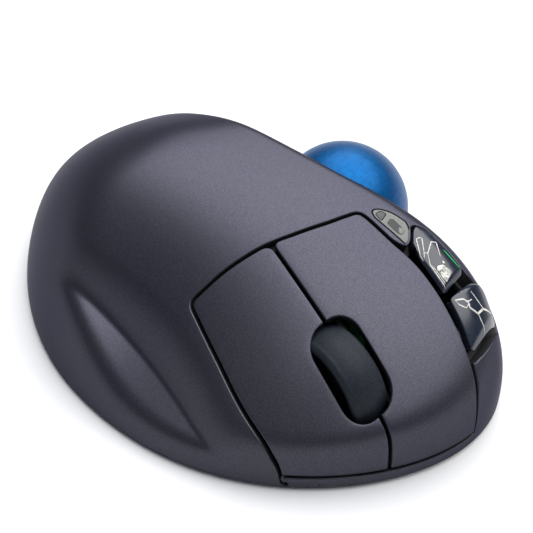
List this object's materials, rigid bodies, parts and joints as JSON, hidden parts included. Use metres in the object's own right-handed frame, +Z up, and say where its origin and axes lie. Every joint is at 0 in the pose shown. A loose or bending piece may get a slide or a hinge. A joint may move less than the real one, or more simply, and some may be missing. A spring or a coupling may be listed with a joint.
{
  "type": "trackball mouse",
  "caption": "Cordless right-hand mouse with a thumb-rolled ball on its scooped left side, split main buttons, a scroll wheel and side keys on a high sloping palm rest.",
  "frame": {"origin": "on the table under the middle of the bounding box", "axes": "+X to the user's right, +Y forward to the button end, +Z up"},
  "size_m": [0.0959, 0.1435, 0.0447],
  "materials": {
    "case_charcoal": "satin with a fine metallic grain",
    "inner_black": "matt",
    "key_navy": "gloss",
    "indicator_grey": "flat",
    "indicator_smoke": "smoked gloss",
    "clear_plastic": "clear",
    "ball_blue": "pearl gloss",
    "ball_core_blue": "pearl",
    "wheel_rubber": "smooth satin",
    "board_green": "satin",
    "switch_white": "gloss",
    "bright_steel": "bright",
    "bearing_white": "polished",
    "glide_grey": "slick",
    "battery_skin": "printed sleeve, plain",
    "label_silver": "satin, blank"
  },
  "bodies": {
    "housing": {"top_shell": "case_charcoal", "base": "inner_black", "indicator_plate": "indicator_grey", "indicator_lens": "indicator_smoke", "light_pipe": "clear_plastic", "indicator_led": "clear_plastic", "ball_socket": "inner_black", "bearing_ball_1": "bearing_white", "bearing_ball_2": "bearing_white", "bearing_ball_3": "bearing_white", "sensor_lens": "clear_plastic", "optical_sensor": "inner_black", "sensor_board": "board_green", "main_board": "board_green", "radio_chip": "inner_black", "capacitor": "bright_steel", "side_board": "board_green", "scroll_encoder": "inner_black", "left_switch": "inner_black", "right_switch": "inner_black", "back_switch": "inner_black", "forward_switch": "inner_black", "wheel_click_switch": "inner_black", "wheel_well": "inner_black", "power_switch": "inner_black", "battery_cell": "battery_skin", "battery_cap": "bright_steel", "battery_contact": "bright_steel", "battery_spring": "bright_steel", "receiver_plug": "bright_steel", "receiver_cap": "inner_black", "case_screw_1": "bright_steel", "case_screw_2": "bright_steel", "case_screw_3": "bright_steel", "case_screw_4": "bright_steel", "board_screw_1": "bright_steel", "board_screw_2": "bright_steel", "glide_foot_1": "glide_grey", "glide_foot_2": "glide_grey", "glide_foot_3": "glide_grey", "glide_foot_4": "glide_grey", "glide_foot_5": "glide_grey", "rating_label": "label_silver", "carrier_spring": "bright_steel"},
    "ball_core": {"trackball_core": "ball_core_blue"},
    "ball_coat": {"trackball_coat": "ball_blue"},
    "left_button": {"left_button": "case_charcoal"},
    "right_button": {"right_button": "case_charcoal"},
    "left_plunger": {"left_plunger": "switch_white"},
    "right_plunger": {"right_plunger": "switch_white"},
    "wheel_carrier": {"wheel_carrier": "inner_black"},
    "wheel": {"wheel_hub": "inner_black", "wheel_tyre": "wheel_rubber"},
    "wheel_click_stem": {"wheel_click_stem": "switch_white"},
    "back_button": {"back_button": "key_navy"},
    "forward_button": {"forward_button": "key_navy"},
    "back_stem": {"back_stem": "switch_white"},
    "forward_stem": {"forward_stem": "switch_white"},
    "power_slider": {"power_slider": "key_navy"},
    "battery_door": {"battery_door": "inner_black"}
  },
  "joints": [
    {"name": "ball_roll_x", "type": "hinge", "parent": "housing", "child": "ball_core", "pos_m": [-0.0302, 0.0087, 0.0248], "axis": [1, 0, 0], "continuous": true},
    {"name": "ball_roll_y", "type": "hinge", "parent": "ball_core", "child": "ball_coat", "pos_m": [-0.0302, 0.0087, 0.0248], "axis": [0, 1, 0], "continuous": true},
    {"name": "left_click", "type": "hinge", "parent": "housing", "child": "left_button", "pos_m": [-0.01, 0.025, 0.0365], "axis": [-1, 0, 0], "range_deg": [0, 1], "stiffness_Nm_per_rad": 1},
    {"name": "right_click", "type": "hinge", "parent": "housing", "child": "right_button", "pos_m": [0.012, 0.0215, 0.032], "axis": [-1, 0, 0], "range_deg": [0, 1], "stiffness_Nm_per_rad": 1},
    {"name": "left_plunger_travel", "type": "slide", "parent": "housing", "child": "left_plunger", "axis": [0, 0, -1], "range_m": [0, 0.00028]},
    {"name": "right_plunger_travel", "type": "slide", "parent": "housing", "child": "right_plunger", "axis": [0, 0, -1], "range_m": [0, 0.00026]},
    {"name": "wheel_press", "type": "slide", "parent": "housing", "child": "wheel_carrier", "axis": [0, 0, -1], "range_m": [0, 0.0005], "stiffness_N_per_m": 600, "deforming": ["carrier_spring"]},
    {"name": "wheel_spin", "type": "hinge", "parent": "wheel_carrier", "child": "wheel", "pos_m": [0.0014, 0.0493, 0.016], "axis": [0.9945, 0, -0.1045], "continuous": true},
    {"name": "wheel_stem_travel", "type": "slide", "parent": "housing", "child": "wheel_click_stem", "axis": [0, 0, -1], "range_m": [0, 0.0003]},
    {"name": "back_press", "type": "slide", "parent": "housing", "child": "back_button", "axis": [0, 0, -1], "range_m": [0, 0.0006], "stiffness_N_per_m": 300},
    {"name": "forward_press", "type": "slide", "parent": "housing", "child": "forward_button", "axis": [0, 0, -1], "range_m": [0, 0.0006], "stiffness_N_per_m": 300},
    {"name": "back_stem_travel", "type": "slide", "parent": "housing", "child": "back_stem", "axis": [0, 0, -1], "range_m": [0, 0.00036]},
    {"name": "forward_stem_travel", "type": "slide", "parent": "housing", "child": "forward_stem", "axis": [0, 0, -1], "range_m": [0, 0.00036]},
    {"name": "power_slide", "type": "slide", "parent": "housing", "child": "power_slider", "axis": [1, 0, 0], "range_m": [0, 0.003]},
    {"name": "door_lift_off", "type": "slide", "parent": "housing", "child": "battery_door", "axis": [0, 0, -1], "range_m": [0, 0.015]}
  ],
  "couplings": [
    {"joint": "left_plunger_travel", "follows": "left_click", "m_per_rad": 0.0155},
    {"joint": "right_plunger_travel", "follows": "right_click", "m_per_rad": 0.0145},
    {"joint": "wheel_stem_travel", "follows": "wheel_press", "ratio": 0.6},
    {"joint": "back_stem_travel", "follows": "back_press", "ratio": 0.6},
    {"joint": "forward_stem_travel", "follows": "forward_press", "ratio": 0.6}
  ]
}
